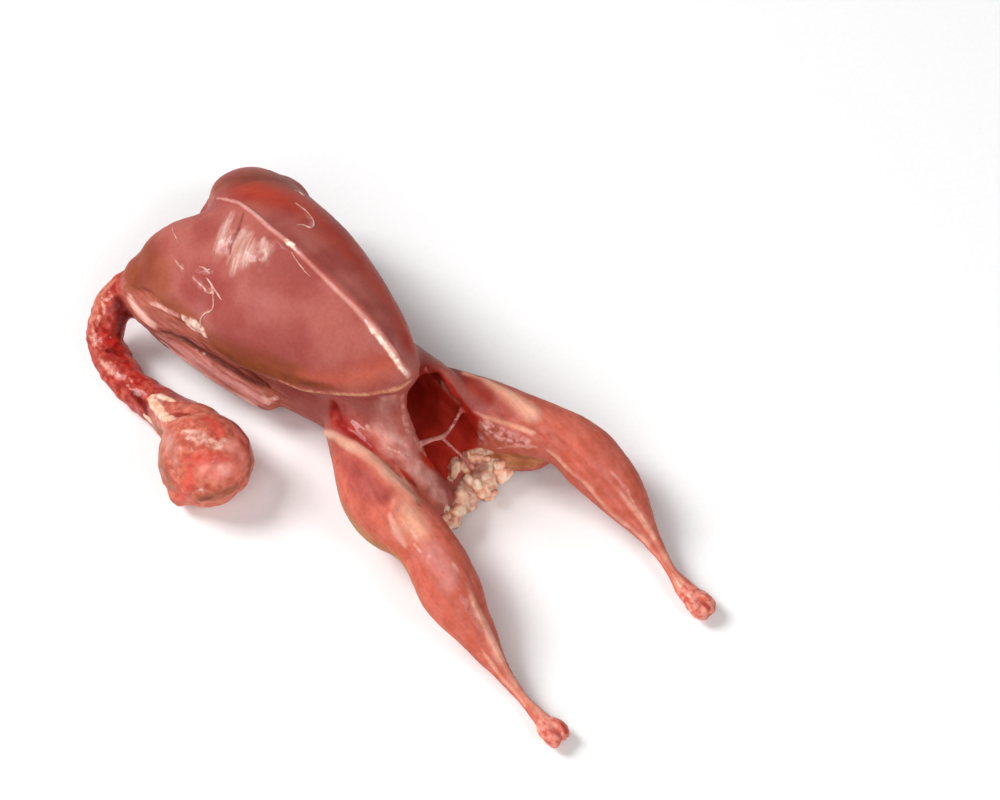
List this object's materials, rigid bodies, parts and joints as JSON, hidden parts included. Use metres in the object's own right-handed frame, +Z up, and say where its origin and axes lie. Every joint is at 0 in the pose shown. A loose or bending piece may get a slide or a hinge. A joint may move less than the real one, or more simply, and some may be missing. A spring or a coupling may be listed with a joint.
{
  "type": "dressed quail",
  "caption": "Small skinned and cleaned game bird lying on its back, with a curled neck, wing stubs, splayed legs and an open body cavity; raw food.",
  "frame": {"origin": "on the table, on the flat of the back, under the middle of the body and in its middle plane", "axes": "+Z up out of the breast, +Y along the keel towards the neck, +X the bird's left side"},
  "size_m": [0.062, 0.1195, 0.0399],
  "materials": {
    "meat": "wet raw meat under a thin clear membrane"
  },
  "bodies": {
    "root": {"dressed_quail": "meat"}
  },
  "joints": []
}
